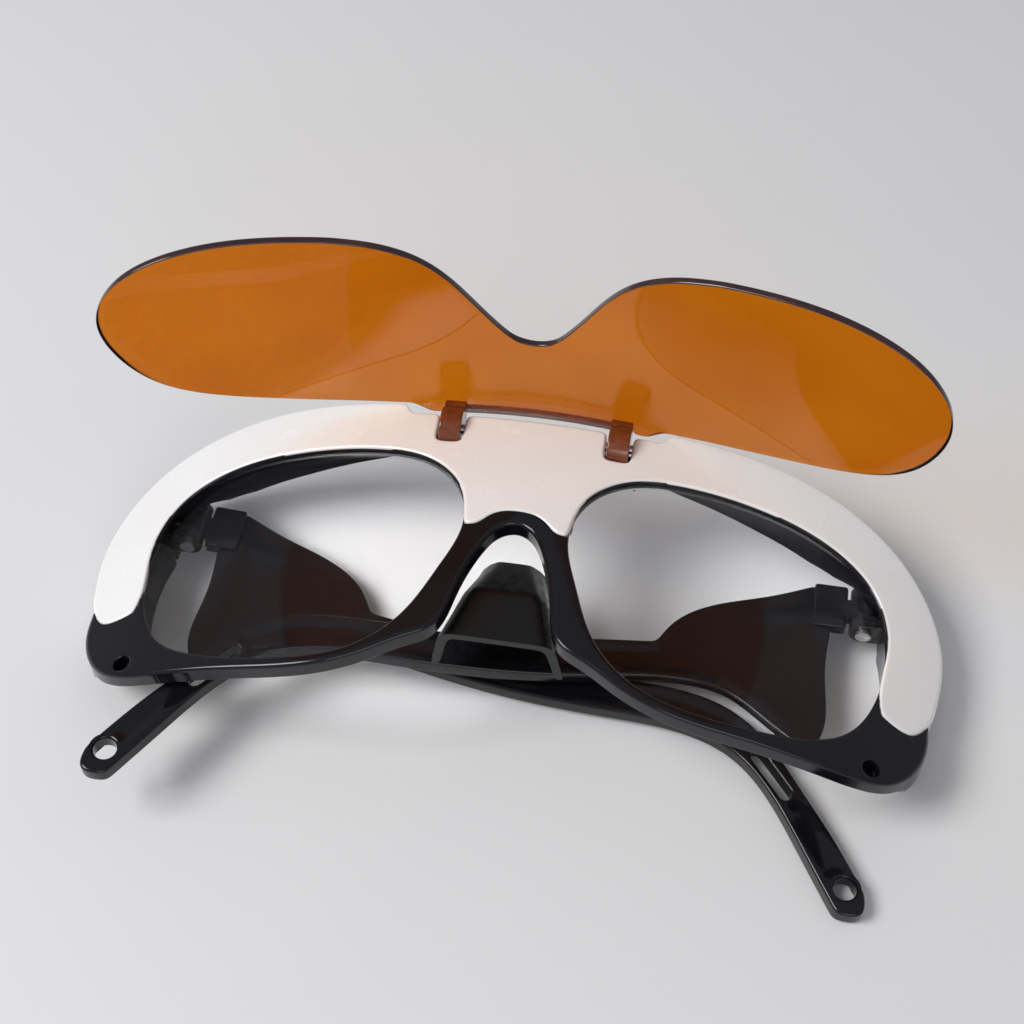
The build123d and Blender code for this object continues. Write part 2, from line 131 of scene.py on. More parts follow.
ARM_TOP = [(36.6, -2.8), (48.0, -4.6), (66.0, -8.0), (90.0, -9.6), (102.5, -12.0), (113.0, -20.0),
           (118.0, -26.5), (123.5, -34.0), (129.6, -43.6)]
TIP_END = [(129.6, -43.6), (129.4, -47.6), (125.0, -48.0)]
ARM_LOW = [(125.0, -48.0), (118.0, -36.5), (112.5, -28.0), (105.5, -21.0), (98.0, -17.8),
           (82.0, -16.2), (60.0, -14.4), (44.0, -11.6), (30.0, -10.0), (23.5, -11.2),
           (18.0, -14.6), (13.0, -18.4), (8.2, -21.4)]
SHIELD_FRONT = [(8.2, -21.4), (6.6, -19.0), (6.2, -6.0), (5.8, 4.6)]
BOW = [(3.0, 0.0, 2.4), (20.0, 1.3, 2.2), (45.0, 1.2, 2.8), (70.0, -0.6, 3.2), (90.0, -2.2, 3.2),
       (105.0, -3.2, 3.2), (118.0, -3.7, 3.2), (133.0, -4.3, 3.2)]
ARM_START = (9.0, 4.6)
# How deep the panel on each arm's face side is sunk; the CAD's arm has none.
PANEL_DEPTH = 0.45
# The arm's hinge leaf ends 0.3 inside the arm, past the CAD's leaf.
LEAF = [(3.2, 4.6), (9.3, 4.6), (9.3, 13.6), (3.2, 13.6), (3.2, 4.6)]
LEAF_T = 2.6
KNUCKLE_LOW = 7.1
KNUCKLE_R = 2.6
# Height above KNUCKLE_LOW and inset of each ring up the knuckle
KNUCKLE_RINGS = [(0, 0.25), (0.08, 0.08), (0.25, 0), (3.55, 0), (3.72, 0.08), (3.8, 0.25)]


# ---- lines ----
def spline(points, step=0.9, closed=False):
    """Points about every step mm along the smooth curve through the given points."""
    p = np.array(points, float)
    if closed:
        p = np.vstack([p, p[:1]])
    h = np.linalg.norm(np.diff(p, axis=0), axis=1)
    t = np.concatenate([[0.0], np.cumsum(h)])
    n = len(t)
    a = np.zeros((n, n))
    b = np.zeros_like(p)
    a[0, 0] = a[-1, -1] = 1.0
    for i in range(1, n - 1):
        a[i, i - 1], a[i, i], a[i, i + 1] = h[i - 1], 2 * (h[i - 1] + h[i]), h[i]
        b[i] = 6 * ((p[i + 1] - p[i]) / h[i] - (p[i] - p[i - 1]) / h[i - 1])
    if closed:
        a[0, -1] = -1.0
        a[-1] = 0.0
        a[-1, -2], a[-1, 0], a[-1, 1] = h[-1], 2 * (h[-1] + h[0]), h[0]
        b[-1] = 6 * ((p[1] - p[0]) / h[0] - (p[0] - p[-2]) / h[-1])
    m = np.linalg.solve(a, b)
    count = max(2, int(round(t[-1] / step)))
    u = np.linspace(0, t[-1], count + 1)
    i = np.clip(np.searchsorted(t, u, side="right") - 1, 0, n - 2)
    left, right = (u - t[i])[:, None], (t[i + 1] - u)[:, None]
    w = h[i][:, None]
    out = (
        m[i] * right**3 / (6 * w) + m[i + 1] * left**3 / (6 * w)
        + (p[i] / w - m[i] * w / 6) * right + (p[i + 1] / w - m[i + 1] * w / 6) * left
    )
    return out[:-1] if closed else out


def straight(points, step=0.5):
    """Points about every step mm along straight runs."""
    out = []
    for a, b in zip(points[:-1], points[1:]):
        a, b = np.array(a, float), np.array(b, float)
        n = max(1, int(round(np.linalg.norm(b - a) / step)))
        out += [a + (b - a) * k / n for k in range(n)]
    return np.array(out + [np.array(points[-1], float)])


def chained(parts):
    """Runs of points end to end, each one's repeated first point left out."""
    out = [parts[0]]
    for run in parts[1:]:
        out.append(run[1:] if np.linalg.norm(run[0] - out[-1][-1]) < 1e-6 else run)
    return np.vstack(out)


def whole(half):
    """A closed outline from its half on the +X side, which starts and ends on the middle."""
    other = half[1:-1][::-1] * [-1, 1]
    return np.vstack([half, other])


def even(loop, step):
    """A closed outline with points evenly spaced."""
    p = np.vstack([loop, loop[:1]])
    t = np.concatenate([[0.0], np.cumsum(np.linalg.norm(np.diff(p, axis=0), axis=1))])
    u = np.linspace(0, t[-1], int(round(t[-1] / step)) + 1)[:-1]
    return np.column_stack([np.interp(u, t, p[:, k]) for k in range(2)])


def relaxed(loop, rounds):
    """A closed outline with its corners softened."""
    for _ in range(rounds):
        loop = 0.5 * loop + 0.25 * (np.roll(loop, 1, 0) + np.roll(loop, -1, 0))
    return loop


def area(loop):
    """The area inside a closed outline, negative where it runs clockwise."""
    x, y = loop.T
    return 0.5 * float(np.sum(x * np.roll(y, -1) - np.roll(x, -1) * y))


def turned(loop, ccw=True):
    """The outline, reversed if it doesn't run the asked way round."""
    return loop if (area(loop) > 0) == ccw else loop[::-1]


def normals(loop):
    """The unit normals on the left of a closed outline."""
    d = np.roll(loop, -1, 0) - np.roll(loop, 1, 0)
    d /= np.linalg.norm(d, axis=1)[:, None]
    return np.column_stack([-d[:, 1], d[:, 0]])


def inside(loop, p):
    """Which points lie inside a closed outline."""
    a, b = loop, np.roll(loop, -1, 0)
    x, y = p[:, 0, None], p[:, 1, None]
    crosses = (a[:, 1] > y) != (b[:, 1] > y)
    dy = np.where(np.abs(b[:, 1] - a[:, 1]) < 1e-12, 1e-12, b[:, 1] - a[:, 1])
    at = (b[:, 0] - a[:, 0]) * (y - a[:, 1]) / dy + a[:, 0]
    return (crosses & (x < at)).sum(1) % 2 == 1


def distance(line, p, closed=True):
    """Each point's distance from an outline."""
    a = line if closed else line[:-1]
    b = np.roll(line, -1, 0) if closed else line[1:]
    ab = b - a
    size = np.maximum((ab**2).sum(1), 1e-12)
    best = np.full(len(p), np.inf)
    for start in range(0, len(p), 2000):
        q = p[start:start + 2000, None, :]
        t = np.clip(((q - a) * ab).sum(2) / size, 0, 1)
        gap = np.linalg.norm(q - (a + ab * t[..., None]), axis=2)
        best[start:start + 2000] = gap.min(1)
    return best


def with_stops(loop, stops, above):
    """The outline with a point added wherever its part above a height crosses one of the x values."""
    out = []
    for a, b in zip(loop, np.roll(loop, -1, 0)):
        out.append(a)
        if min(a[1], b[1]) > above:
            crossed = [x for x in stops if min(a[0], b[0]) < x < max(a[0], b[0])]
            for x in sorted(crossed, reverse=bool(b[0] < a[0])):
                out.append(a + (b - a) * (x - a[0]) / (b[0] - a[0]))
    return np.array(out)


def ramp(x, low, high):
    """A smooth rise from 0 at low to 1 at high."""
    t = np.clip((x - low) / (high - low), 0, 1)
    return t * t * (3 - 2 * t)


def disc(centre, radius, count):
    """Points round a circle, from its +X side."""
    a = np.linspace(0, 2 * np.pi, count, endpoint=False)
    return np.column_stack([centre[0] + radius * np.cos(a), centre[1] + radius * np.sin(a)])


# ---- meshes ----
# A ring this far inside each rounded edge holds the flat faces' shading level.
HOLD = 0.18
# Edges that bend more than this many degrees are shaded sharp.
SHARP_ANGLE = 38


def new_object(name, verts, faces, materials, slots=None):
    """A smooth-shaded mesh object from points in mm."""
    mesh = bpy.data.meshes.new(name)
    mesh.from_pydata([tuple(v * MM) for v in np.asarray(verts, float)], [], faces)
    mesh.validate()
    for m in materials:
        mesh.materials.append(m)
    if slots is not None and len(mesh.polygons) == len(slots):
        mesh.polygons.foreach_set("material_index", slots)
    bm = bmesh.new()
    bm.from_mesh(mesh)
    bmesh.ops.remove_doubles(bm, verts=bm.verts, dist=1e-6)
    bmesh.ops.dissolve_degenerate(bm, dist=1e-7, edges=bm.edges)
    bmesh.ops.recalc_face_normals(bm, faces=bm.faces)
    bm.to_mesh(mesh)
    bm.free()
    for p in mesh.polygons:
        p.use_smooth = True
    mesh.set_sharp_from_angle(angle=math.radians(SHARP_ANGLE))
    obj = bpy.data.objects.new(name, mesh)
    bpy.context.scene.collection.objects.link(obj)
    weighted = obj.modifiers.new("even_shading", "WEIGHTED_NORMAL")
    weighted.keep_sharp = True
    return obj


def cap(rings, lines, cell, height, start):
    """Triangles over the region between rings of points, on a height surface.

    Gives the new points and the faces; a ring's own points keep their numbers."""
    flat = np.vstack([r[0] for r in rings])
    numbers = np.concatenate([r[1] for r in rings])
    low, high = flat.min(0), flat.max(0)
    xs = np.arange(low[0], high[0], cell)
    ys = np.arange(low[1], high[1], cell * 0.866)
    gx, gy = np.meshgrid(xs, ys)
    gx = gx + (np.arange(len(ys)) % 2)[:, None] * cell / 2
    grid = np.column_stack([gx.ravel(), gy.ravel()])

    def within(p):
        return sum(inside(r[0], p).astype(int) for r in rings) % 2 == 1

    grid = grid[within(grid)]
    for r in rings:
        grid = grid[distance(r[0], grid) > 0.55 * cell]
    edges, extra = [], []
    base = 0
    for r in rings:
        n = len(r[0])
        edges += [(base + k, base + (k + 1) % n) for k in range(n)]
        base += n
    for line in lines:
        ok = within(line)
        for r in rings:
            ok &= distance(r[0], line) > 0.12
        if len(grid):
            grid = grid[distance(line, grid, closed=False) > 0.4 * cell]
        run = []
        for k, good in enumerate(list(ok) + [False]):
            if good:
                run.append(line[k])
            elif run:
                if len(run) > 1:
                    edges += [(base + i, base + i + 1) for i in range(len(run) - 1)]
                    extra += run
                    base += len(run)
                run = []
    points = np.vstack([flat] + ([np.array(extra)] if extra else []) + [grid])
    out, _, faces, origin, _, _ = delaunay_2d_cdt(
        [Vector(p) for p in points], edges, [], 0, 1e-6
    )
    out = np.array([tuple(v) for v in out])
    faces = np.array([f for f in faces if len(f) == 3])
    faces = faces[within(out[faces].mean(1))]
    names = np.full(len(out), -1)
    fresh = []
    for k, source in enumerate(origin):
        ringed = [s for s in source if s < len(flat)]
        if ringed:
            names[k] = numbers[ringed[0]]
        else:
            names[k] = start + len(fresh)
            fresh.append(out[k])
    fresh = np.array(fresh).reshape(-1, 2)
    z = height(fresh) if len(fresh) else np.zeros(0)
    return np.column_stack([fresh, z]), [tuple(int(names[v]) for v in f) for f in faces]


def band(before, after):
    """The faces between two rings with the same number of points."""
    following = np.roll(np.arange(len(after)), -1)
    return [
        (int(before[i]), int(before[j]), int(after[j]), int(after[i]))
        for i, j in enumerate(following)
    ]


def plate(name, place, loops, front, back, materials, edge=0.5, back_edge=None, rabbet=None,
          blind=(), cell=1.5, front_lines=(), back_lines=(), rows=5):
    """A rounded plate between two height surfaces; its first outline is the outer one.

    rabbet is (depth, width) of a step in the holes; blind holds (outline, depth) of blind holes.
    Side faces take the last material."""
    back_edge = edge if back_edge is None else back_edge
    verts, faces, slots = [], [], []
    front_rings, back_rings = [], []
    side = len(materials) - 1
    angles = np.linspace(0, np.pi / 2, rows + 1)
    for number, loop in enumerate(loops):
        loop = turned(loop, ccw=number == 0)
        n = normals(loop)
        stations = [(edge + HOLD, "f", 0.0)]
        stations += [(edge * (1 - math.sin(a)), "f", edge * (1 - math.cos(a))) for a in angles]
        grow = 0.0
        if rabbet and number:
            grow = rabbet[1]
            stations += [(0.0, "f", rabbet[0]), (grow, "f", rabbet[0] + 0.02)]
        stations += [
            (grow + back_edge * (1 - math.sin(a)), "b", back_edge * (1 - math.cos(a)))
            for a in angles[::-1]
        ]
        stations.append((grow + back_edge + HOLD, "b", 0.0))
        before = None
        for k, (inset, kind, drop) in enumerate(stations):
            xy = loop + n * inset
            z = front(xy) - drop if kind == "f" else back(xy) + drop
            ids = np.arange(len(verts), len(verts) + len(xy))
            verts += [tuple(v) for v in np.column_stack([xy, z])]
            if before is not None:
                faces += band(before, ids)
                slots += [side] * len(ids)
            if k == 0:
                front_rings.append((xy, ids))
            if k == len(stations) - 1:
                back_rings.append((xy, ids))
            before = ids
    for loop, depth in blind:
        loop = turned(loop, ccw=False)
        n = normals(loop)
        before = None
        stations = [(0.3, 0.0), (0.09, 0.09), (0.0, 0.3), (0.0, depth)]
        for k, (inset, drop) in enumerate(stations):
            xy = loop + n * inset
            z = front(xy) - drop if drop < 1 else np.full(len(xy), front(xy).mean() - drop)
            ids = np.arange(len(verts), len(verts) + len(xy))
            verts += [tuple(v) for v in np.column_stack([xy, z])]
            if before is not None:
                faces += band(before, ids)
                slots += [side] * len(ids)
            if k == 0:
                front_rings.append((xy, ids))
            before = ids
        faces.append(tuple(int(i) for i in before))
        slots.append(side)
    for rings, lines, height in ((front_rings, front_lines, front), (back_rings, back_lines, back)):
        fresh, found = cap(rings, lines, cell, height, len(verts))
        verts += [tuple(v) for v in fresh]
        faces += found
        slots += [0] * len(found)
    return new_object(name, place(np.array(verts)), faces, materials, slots)


def loft(name, rings, materials):
    """A skin over closed rings of 3-D points, with a flat end at each end."""
    n = len(rings[0])
    verts = np.vstack(rings)
    faces = []
    for k in range(len(rings) - 1):
        for i in range(n):
            j = (i + 1) % n
            faces.append((k * n + i, k * n + j, (k + 1) * n + j, (k + 1) * n + i))
    faces.append(tuple(range(n)))
    faces.append(tuple(range((len(rings) - 1) * n, len(rings) * n)))
    return new_object(name, verts, faces, materials)


def step_lines(line, gap=0.05):
    """Two copies of a line, one each side of it, for a step in a surface."""
    d = np.gradient(line, axis=0)
    d /= np.linalg.norm(d, axis=1)[:, None]
    n = np.column_stack([-d[:, 1], d[:, 0]])
    return [line + n * gap, line - n * gap]


def both_sides(lines):
    """The lines and their mirror images."""
    return list(lines) + [line * [-1, 1] for line in lines]


# ---- where local points go ----
def on_frame(p):
    """Front view of the frame: across, towards the brow, height above the table."""
    return p + [0, DATUM_Y, 0]


def flip_axes():
    a = math.radians(FLIP_ANGLE)
    return np.array([0, math.cos(a), -math.sin(a)]), np.array([0, math.sin(a), math.cos(a)])


FLIP_UP, FLIP_NORMAL = flip_axes()


def on_flip(p):
    """Face view of the flip lens: across, towards the pin's far side, out of the face."""
    return PIN + p[:, :1] * [1, 0, 0] + p[:, 1:2] * FLIP_UP + p[:, 2:] * FLIP_NORMAL


def on_flip_end(p):
    """End view of the flip lens's hinge: up, out of the face, along the pin."""
    return PIN + p[:, 2:] * [1, 0, 0] + p[:, :1] * FLIP_UP + p[:, 1:2] * FLIP_NORMAL


def on_arm(side):
    """Side view of an arm: along it from the hinge, towards the brow, away from the face."""
    lean = math.radians(LEAN[side])
    along = np.array([-side * math.cos(lean), 0, -math.sin(lean)])
    away = np.array([-side * along[2], 0, side * along[0]])

    def place(p):
        return HINGE[side] + p[:, :1] * along + p[:, 1:2] * [0, 1, 0] + p[:, 2:] * away

    return place


def front_height(x):
    """The height of the frame's wrapped front."""
    return FRONT_Z - WRAP_R + np.sqrt(WRAP_R**2 - x**2)


# ---- materials ----
class Nodes:
    """A material's node tree, with a Principled shader and short ways to feed it."""

    def __init__(self, name):
        self.mat = bpy.data.materials.new(name)
        self.mat.use_nodes = True
        self.tree = self.mat.node_tree
        self.bsdf = self.tree.nodes["Principled BSDF"]
        self.coord = self.tree.nodes.new("ShaderNodeTexCoord").outputs["Object"]

    def add(self, kind, **inputs):
        node = self.tree.nodes.new(kind)
        for key, value in inputs.items():
            self.put(node.inputs[key.replace("_", " ")], value)
        return node

    def put(self, socket, value):
        if isinstance(value, bpy.types.NodeSocket):
            self.tree.links.new(value, socket)
        else:
            socket.default_value = value

    def noise(self, scale, detail=3.0, rough=0.55, stretch=None):
        source = self.coord
        if stretch:
            mapping = self.add("ShaderNodeMapping", Vector=self.coord, Scale=stretch)
            source = mapping.outputs["Vector"]
        node = self.add("ShaderNodeTexNoise", Vector=source, Scale=scale, Detail=detail, Roughness=rough)
        return node.outputs["Fac"]

    def range(self, value, low, high, to_low, to_high):
        node = self.add("ShaderNodeMapRange", Value=value)
        limits = {"From Min": low, "From Max": high, "To Min": to_low, "To Max": to_high}
        for key, number in limits.items():
            node.inputs[key].default_value = number
        return node.outputs["Result"]

    def mix(self, factor, a, b):
        node = self.tree.nodes.new("ShaderNodeMix")
        node.data_type = "RGBA"
        self.put(node.inputs["Factor"], factor)
        self.put(node.inputs[6], a)
        self.put(node.inputs[7], b)
        return node.outputs[2]

    def bump(self, height, strength, distance, before=None):
        node = self.add("ShaderNodeBump", Height=height, Strength=strength, Distance=distance)
        if before is not None:
            self.put(node.inputs["Normal"], before)
        return node.outputs["Normal"]

    def set(self, **inputs):
        for key, value in inputs.items():
            self.put(self.bsdf.inputs[key.replace("_", " ")], value)


def moulded_black(name, base=(0.0042, 0.0044, 0.0058), rough=(0.07, 0.20), grain=0.05):
    m = Nodes(name)
    haze = m.noise(90, 4)
    fine = m.noise(2600, 2)
    colour = m.mix(haze, (*base, 1), (base[0] * 2.2, base[1] * 2.2, base[2] * 2.3, 1))
    smear = m.noise(240, 5, 0.65, (1.0, 3.0, 1.0))
    m.set(
        Base_Color=colour,
        Roughness=m.range(smear, 0.3, 0.72, *rough),
        Normal=m.bump(fine, grain, 0.00004, m.bump(m.noise(420, 2), 0.06, 0.0001)),
        IOR=1.5,
        Specular_IOR_Level=0.34,
        Coat_Weight=0.08,
        Coat_Roughness=0.05,
    )
    return m.mat


def cream_white(name):
    m = Nodes(name)
    cloud = m.noise(38, 3)
    speck = m.noise(900, 4)
    warm = m.mix(m.range(cloud, 0.32, 0.68, 0, 1), (0.86, 0.835, 0.83, 1), (0.90, 0.885, 0.875, 1))
    colour = m.mix(m.range(speck, 0.66, 0.78, 0, 0.04), warm, (0.72, 0.66, 0.62, 1))
    m.set(
        Base_Color=colour,
        Roughness=m.range(m.noise(180, 4, 0.6), 0.3, 0.7, 0.16, 0.30),
        Normal=m.bump(m.noise(2200, 2), 0.04, 0.00004, m.bump(m.noise(110, 2), 0.10, 0.00020)),
        IOR=1.49,
        Coat_Weight=0.7,
        Coat_Roughness=0.05,
        Subsurface_Weight=0.12,
        Subsurface_Radius=(0.004, 0.0028, 0.0022),
        Subsurface_Scale=0.6,
    )
    return m.mat


def glass(name, tint, second, rough=(0.0, 0.03), through=(0.9, 0.9, 0.9), ior=1.49):
    """Clear or tinted lens: glass that lets the lamps' light through in its own colour."""
    m = Nodes(name)
    colour = m.mix(m.range(m.noise(26, 2), 0.3, 0.7, 0, 1), (*tint, 1), (*second, 1))
    m.set(
        Base_Color=colour,
        Roughness=m.range(m.noise(150, 5, 0.7), 0.45, 0.8, *rough),
        Normal=m.bump(m.noise(60, 1), 0.02, 0.0002),
        IOR=ior,
        Transmission_Weight=1.0,
    )
    clear = m.add("ShaderNodeBsdfTransparent", Color=(*through, 1))
    path = m.tree.nodes.new("ShaderNodeLightPath")
    mixer = m.add("ShaderNodeMixShader", Fac=path.outputs["Is Shadow Ray"])
    m.tree.links.new(m.bsdf.outputs[0], mixer.inputs[1])
    m.tree.links.new(clear.outputs[0], mixer.inputs[2])
    m.tree.links.new(mixer.outputs[0], m.tree.nodes["Material Output"].inputs["Surface"])
    return m.mat


def tinted_solid(name, base, other, through, rough=(0.08, 0.2)):
    """Dark tinted plastic with streaks along the moulding; where it colours the amber lens's edge, its
    darkness is painted shade.
    """
    m = Nodes(name)
    streak = m.noise(500, 4, 0.6, (0.4, 1.0, 1.0))
    m.set(
        Base_Color=m.mix(m.range(streak, 0.35, 0.7, 0, 1), (*base, 1), (*other, 1)),
        Roughness=m.range(m.noise(300, 3), 0.3, 0.7, *rough),
        Normal=m.bump(m.noise(900, 3), 0.12, 0.00008),
        IOR=1.52,
        Transmission_Weight=through,
        Coat_Weight=0.4,
        Coat_Roughness=0.05,
    )
    return m.mat


def soft_black(name):
    m = Nodes(name)
    m.set(
        Base_Color=m.mix(m.noise(70, 4), (0.0035, 0.0035, 0.0042, 1), (0.0075, 0.0075, 0.0085, 1)),
        Roughness=m.range(m.noise(500, 3), 0.3, 0.7, 0.22, 0.36),
        Normal=m.bump(m.noise(3000, 3), 0.2, 0.00006),
        IOR=1.48,
        Specular_IOR_Level=0.4,
    )
    return m.mat


def steel(name):
    m = Nodes(name)
    brushed = m.noise(900, 4, 0.6, (0.06, 1.0, 1.0))
    m.set(
        Base_Color=m.mix(brushed, (0.50, 0.50, 0.52, 1), (0.66, 0.66, 0.68, 1)),
        Metallic=1.0,
        Roughness=m.range(brushed, 0.3, 0.7, 0.22, 0.42),
        Normal=m.bump(brushed, 0.15, 0.00004),
    )
    return m.mat


BLACK = moulded_black("black_gloss")
ARM_BLACK = moulded_black(
    "arm_black_gloss", base=(0.0035, 0.0035, 0.0045), rough=(0.08, 0.22), grain=0.07
)
HINGE_BLACK = moulded_black("hinge_black", base=(0.005, 0.005, 0.006), rough=(0.22, 0.36), grain=0.12)
WHITE = cream_white("cover_cream")
CLEAR = glass(
    "lens_clear_glass", (0.955, 0.955, 0.96), (0.975, 0.972, 0.976),
    through=(0.94, 0.94, 0.94), ior=1.2,
)
AMBER = glass(
    "lens_amber_glass", (0.80, 0.235, 0.006), (0.66, 0.165, 0.004),
    through=(0.92, 0.86, 0.80), ior=1.22,
)
# Painted shade: the lens edge is coloured near black and opaque, standing in for how dark the amber lens
# looks when seen on edge.
AMBER_EDGE_PAINTED_SHADE = tinted_solid(
    "lens_amber_edge_painted_shade", (0.020, 0.006, 0.010), (0.045, 0.014, 0.012), through=0.0
)
HOOK = tinted_solid("hook_dark_amber", (0.16, 0.035, 0.012), (0.30, 0.085, 0.030), through=0.25)
SADDLE_BLACK = soft_black("saddle_rubber")
STEEL = steel("pin_steel")


# ---- outlines used by more than one piece ----
frame_half = chained([spline(FRAME_TOP), spline(LUG), spline(RIM_LOW)])
cover_inner = spline(COVER_INNER, 0.7)
arch_top = spline(ARCH_TOP, 0.6)
cover_tip = spline([COVER_TOP[-1], COVER_TIP, COVER_INNER[-1]], 0.6)
POCKET = (HOOK_X - POCKET_W / 2, HOOK_X + POCKET_W / 2)
# Outline points close to each side of the frame's pockets keep their side walls upright.
FRAME_POCKET = (POCKET[0] - POCKET_PLAY, POCKET[1] + POCKET_PLAY)
pocket_stops = [s * (x + d) for s in (1, -1) for x in FRAME_POCKET for d in (-0.13, 0.05)]
frame_loop = with_stops(even(relaxed(whole(frame_half), 3), 0.8), pocket_stops, 20)
cover_half = chained([
    straight([
        (0, TOP_NOTCH_Y), (POCKET[0], TOP_NOTCH_Y), (POCKET[0], POCKET_LOW),
        (POCKET[1], POCKET_LOW), (POCKET[1], TOP_NOTCH_Y), (TOP_NOTCH_X - 0.8, TOP_NOTCH_Y),
        COVER_TOP[0],
    ], 0.4),
    spline(COVER_TOP, 0.8),
    cover_tip,
    cover_inner[::-1],
    arch_top[::-1],
])
cover_loop = relaxed(even(whole(cover_half), 0.42), 9)
# The cover's region without its outer edge and its top notch
cover_plain = whole(chained([
    straight([(0, 40), (90, 40), (90, -12.5), COVER_TOP[-1]], 2.0), cover_tip,
    cover_inner[::-1], arch_top[::-1],
]))
openings = {1: spline(OPENING, 0.8, closed=True)}
openings[-1] = openings[1] * [-1, 1]


def grown(loop, amount):
    """The outline moved outwards."""
    loop = turned(loop)
    return loop - normals(loop) * amount


# ---- front frame ----
def wall_height(p):
    """How far back the deep brow wall and the end pieces reach."""
    x, y = np.abs(p[:, 0]), p[:, 1]
    deep = np.interp(x, WALL_X, WALL_HEIGHT)
    deep = np.maximum(deep, np.where(y < -10, -1 + 16 * (-10 - y) / 30, -1))
    deep = np.maximum(deep, np.where(y > 14, -1 + 13 * (y - 14) / 10, -1))
    edge = np.interp(x, [16, 60, 90], [12, -22, -34])
    return np.where((y > edge) & (x > 18), deep, 99)


def frame_front(p):
    top = front_height(p[:, 0])
    z = np.where(inside(cover_plain, p), top - COVER_T - 0.05, top)
    x = np.abs(p[:, 0])
    up = p[:, 1] - (PIN[1] - DATUM_Y)
    pocket = (x > FRAME_POCKET[0]) & (x < FRAME_POCKET[1]) & (np.abs(up) < POCKET_R)
    bottom = PIN[2] - np.sqrt(np.maximum((POCKET_R + POCKET_PLAY) ** 2 - up**2, 0))
    return np.where(pocket, np.minimum(z, bottom), z)


def frame_back(p):
    x, y = np.abs(p[:, 0]), p[:, 1]
    z = front_height(p[:, 0]) - RIM_DEPTH
    bridge = (x < BRIDGE_X) & (y > BRIDGE_LOW)
    z = np.where(bridge, front_height(p[:, 0]) - BRIDGE_DEPTH, z)
    return np.minimum(z, wall_height(p))


edge_line = straight([(60.0, -22.0), (90.0, -34.0)], 1.0)
pin_y = PIN[1] - DATUM_Y
front_lines = both_sides(
    step_lines(cover_inner) + step_lines(arch_top)
    + step_lines(cover_tip)
    + step_lines(straight([(FRAME_POCKET[0], 19.5), (FRAME_POCKET[0], 27)], 0.7))
    + step_lines(straight([(FRAME_POCKET[1], 19.5), (FRAME_POCKET[1], 27)], 0.7))
    + [straight([(POCKET[0] + 0.1, pin_y + up), (POCKET[1] - 0.1, pin_y + up)], 0.8)
       for up in (-4.24, -4.15, -3.9, -3.4, -2.7, -1.9, -1.1, -0.3, 0.5)]
)
back_lines = both_sides(
    step_lines(edge_line)
    + step_lines(straight([(END_X, -26), (END_X, 20)], 1.0))
    + step_lines(straight([(0, BRIDGE_LOW), (BRIDGE_X, BRIDGE_LOW)], 0.8))
    + step_lines(straight([(BRIDGE_X, 19.7), (BRIDGE_X, 24.9)], 0.8))
)
lug_holes = [
    (disc((s * LUG_HOLE[0], LUG_HOLE[1]), LUG_HOLE_R, 32), LUG_HOLE_DEPTH) for s in (1, -1)
]
piece = plate(
    "frame_front", on_frame, [frame_loop, openings[1], openings[-1]], frame_front, frame_back, [BLACK],
    edge=0.75, back_edge=0.45, rabbet=(LENS_SET - 0.02, RABBET), blind=lug_holes, cell=1.3,
    front_lines=front_lines, back_lines=back_lines,
)
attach(piece, "frame")
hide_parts("front_frame")


# ---- brow cover ----
def cover_front(p):
    return front_height(p[:, 0])


def cover_back(p):
    outside = ~inside(frame_loop, p)
    return front_height(p[:, 0]) - np.where(outside, LIP_DEPTH, COVER_T)


# The frame's outer edge above the end pieces, in order: the cover's lip starts there
top_line = frame_loop[frame_loop[:, 1] > -13]
top_line = top_line[np.argsort(-np.arctan2(top_line[:, 1] + 5, top_line[:, 0]))]
piece = plate(
    "brow_cover_shell", on_frame, [cover_loop], cover_front, cover_back, [WHITE],
    edge=0.6, back_edge=0.25, cell=1.2, back_lines=step_lines(top_line, 0.04),
)
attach(piece, "frame")
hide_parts("brow_cover")


# ---- clear lenses ----
for side in (1, -1):
    piece = plate(
        f"clear_lens_{SIDE_NAME[side]}", on_frame, [even(grown(openings[side], RABBET - LENS_PLAY), 0.8)],
        lambda p: front_height(p[:, 0]) - LENS_SET, lambda p: front_height(p[:, 0]) - LENS_SET - LENS_T,
        [CLEAR], edge=0.25, cell=2.0, rows=3,
    )
    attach(piece, "frame")
    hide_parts(f"lens_{SIDE_NAME[side]}")


# ---- nose saddle ----
def saddle_ring(height, half, web, leg, wall=1.5):
    """The channel's section at one place along the nose."""
    top, low = FRONT_Z - web, FRONT_Z - leg
    points = [
        (-half - 1.5, low), (-half, top - 1.5), (-half + 1.8, top), (half - 1.8, top), (half, top - 1.5),
        (half + 1.5, low), (half + 1.5 - wall, low), (half - wall, top - wall - 1.2),
        (half - 1.8 - wall / 2, top - wall), (-half + 1.8 + wall / 2, top - wall),
        (-half + wall, top - wall - 1.2), (-half - 1.5 + wall, low), (-half - 1.5, low),
    ]
    runs = [
        straight([a, b], np.linalg.norm(np.subtract(a, b)) / 8)[:-1]
        for a, b in zip(points[:-1], points[1:])
    ]
    ring = relaxed(np.vstack(runs), 3)
    return np.column_stack([ring[:, 0], np.full(len(ring), height + DATUM_Y), ring[:, 1]])


sections = np.array(SADDLE[::-1])
rings = []
for y in np.linspace(SADDLE[-1][0], SADDLE[0][0], 22):
    rings.append(saddle_ring(y, *[np.interp(y, sections[:, 0], sections[:, k]) for k in (1, 2, 3)]))
piece = loft("nose_saddle_channel", rings, [SADDLE_BLACK])
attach(piece, "frame")
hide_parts("nose_saddle")


# ---- flip lens ----
def flip_front(p):
    return FLIP_OFFSET + FLIP_T - FLIP_R + np.sqrt(FLIP_R**2 - p[:, 0] ** 2)


def flip_back(p):
    inner = FLIP_R - FLIP_T
    return FLIP_OFFSET + FLIP_T - FLIP_R + np.sqrt(inner**2 - p[:, 0] ** 2)


